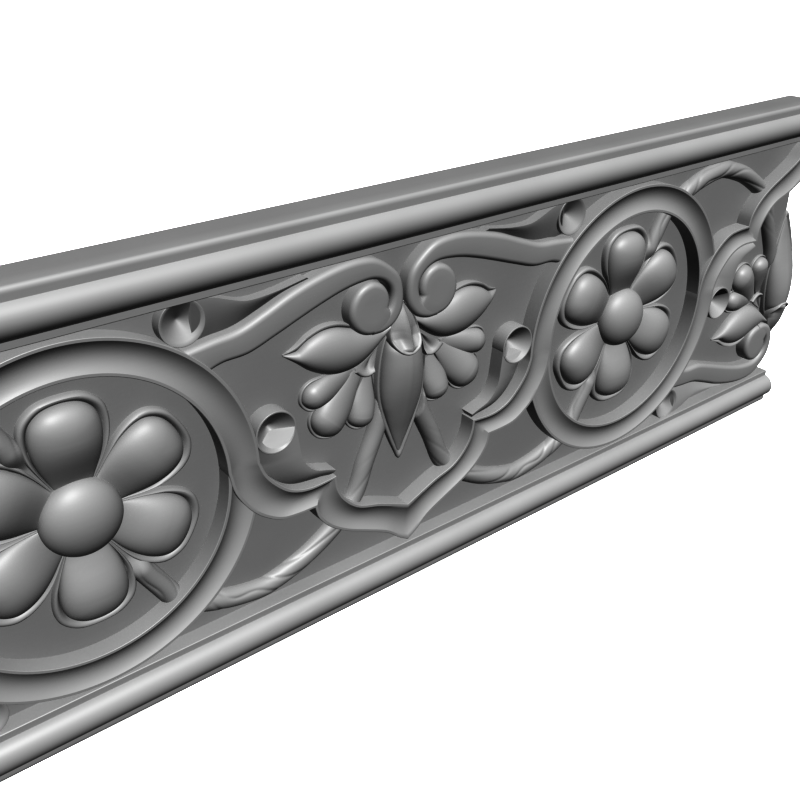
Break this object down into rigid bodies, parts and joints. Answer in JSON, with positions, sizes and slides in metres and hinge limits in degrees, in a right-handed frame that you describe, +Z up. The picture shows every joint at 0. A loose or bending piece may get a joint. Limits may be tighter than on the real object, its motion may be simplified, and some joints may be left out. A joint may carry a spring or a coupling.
{
  "type": "carved moulding",
  "caption": "Straight length of carved wood moulding: bead-edged rails frame interlaced bands, ringed flowers, scrolls, leaves and buds in relief.",
  "frame": {"origin": "middle of the flat back, on the axis of the middle bud and half way up the height; the back is what is fixed to the wall or cabinet", "axes": "+X along the moulding, +Y out of the flat back towards the wall, +Z up; the carving faces -Y"},
  "size_m": [0.523, 0.0207, 0.161],
  "materials": {
    "primed_wood": "fine sanded hardwood under a smooth grey satin primer"
  },
  "bodies": {
    "root": {"carved_moulding": "primed_wood"}
  },
  "joints": []
}
